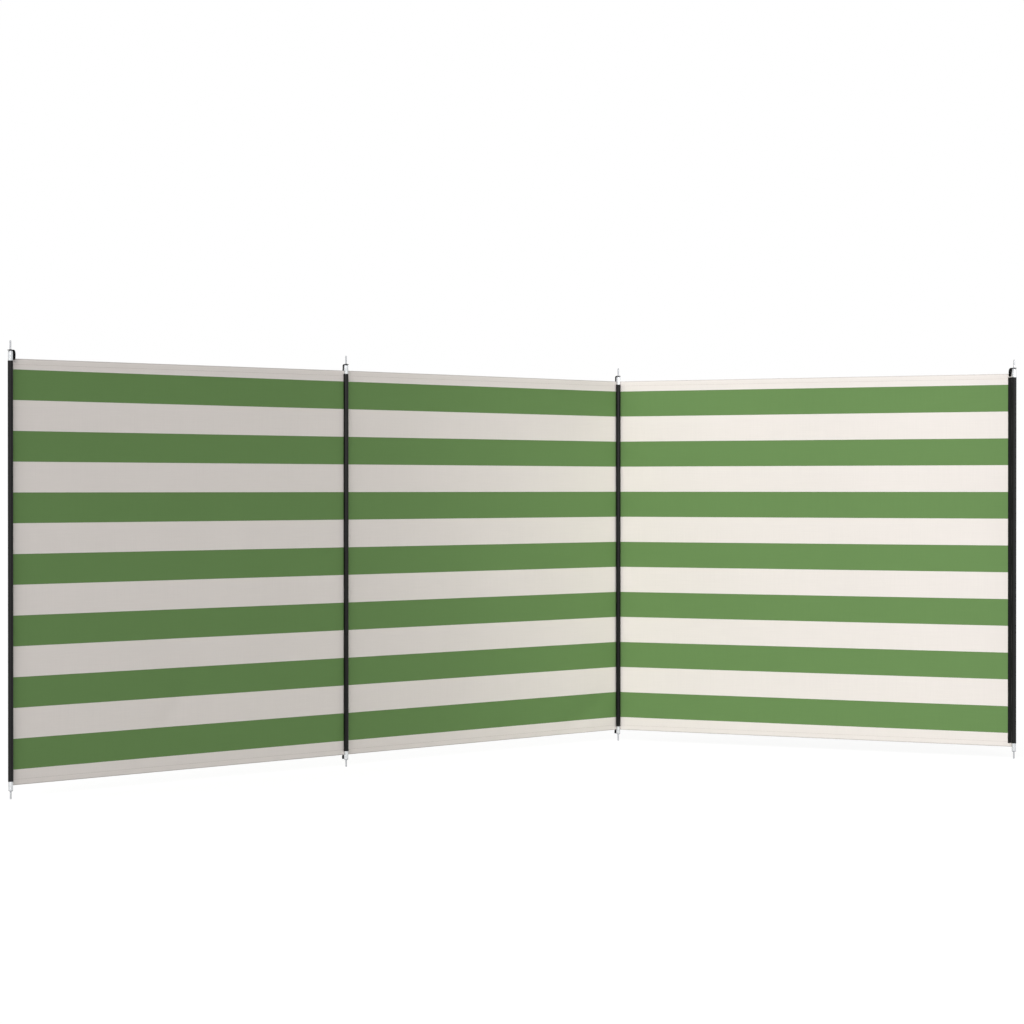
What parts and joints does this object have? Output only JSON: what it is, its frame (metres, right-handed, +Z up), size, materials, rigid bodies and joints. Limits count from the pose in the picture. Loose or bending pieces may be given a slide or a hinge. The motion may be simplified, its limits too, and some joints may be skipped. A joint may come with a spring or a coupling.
{
  "type": "beach windbreak",
  "caption": "Striped cloth windbreak on steel poles with black sleeves; two bays in line and one turned at a corner, folding at the poles.",
  "frame": {"origin": "the corner pole's axis, at the flat shoulder of its foot", "axes": "+Z up along the poles; +X along the two straight bays, from the left end towards the corner; +Y towards the back; the third bay runs along -Y"},
  "size_m": [3.5994, 1.8148, 1.5024],
  "materials": {
    "striped_cloth": "woven polyester, matt, level green and off-white stripes",
    "hem_cloth": "woven polyester, matt, turned and stitched",
    "sleeve_cloth": "black woven cloth",
    "webbing": "black ribbed webbing",
    "steel_tube": "bright plated steel",
    "steel_pin": "bright plated steel",
    "eyelet_metal": "blackened metal"
  },
  "bodies": {
    "left_bay": {"left_panel": "striped_cloth", "left_top_hem": "hem_cloth", "left_bottom_hem": "hem_cloth", "pole_1": "steel_tube", "sleeve_1": "sleeve_cloth", "foot_pin_1": "steel_pin", "top_pin_1": "steel_pin", "strap_1": "webbing", "eyelet_1": "eyelet_metal"},
    "middle_bay": {"middle_panel": "striped_cloth", "middle_top_hem": "hem_cloth", "middle_bottom_hem": "hem_cloth", "corner_cloth": "striped_cloth", "pole_2": "steel_tube", "pole_3": "steel_tube", "sleeve_2": "sleeve_cloth", "sleeve_3": "sleeve_cloth", "foot_pin_2": "steel_pin", "foot_pin_3": "steel_pin", "top_pin_2": "steel_pin", "top_pin_3": "steel_pin", "strap_2": "webbing", "strap_3": "webbing", "eyelet_2": "eyelet_metal", "eyelet_3": "eyelet_metal", "peg_loop_2": "webbing", "peg_loop_3": "webbing"},
    "right_bay": {"right_panel": "striped_cloth", "right_top_hem": "hem_cloth", "right_bottom_hem": "hem_cloth", "pole_4": "steel_tube", "sleeve_4": "sleeve_cloth", "foot_pin_4": "steel_pin", "top_pin_4": "steel_pin", "strap_4": "webbing", "eyelet_4": "eyelet_metal"}
  },
  "joints": [
    {"name": "left_fold", "type": "hinge", "parent": "middle_bay", "child": "left_bay", "pos_m": [-1.806, 0.01055, 0.721], "axis": [0, 0, -1], "range_deg": [-90, 170]},
    {"name": "right_fold", "type": "hinge", "parent": "middle_bay", "child": "right_bay", "pos_m": [0, 0, 0.721], "axis": [0, 0, -1], "range_deg": [-175, 80]}
  ]
}
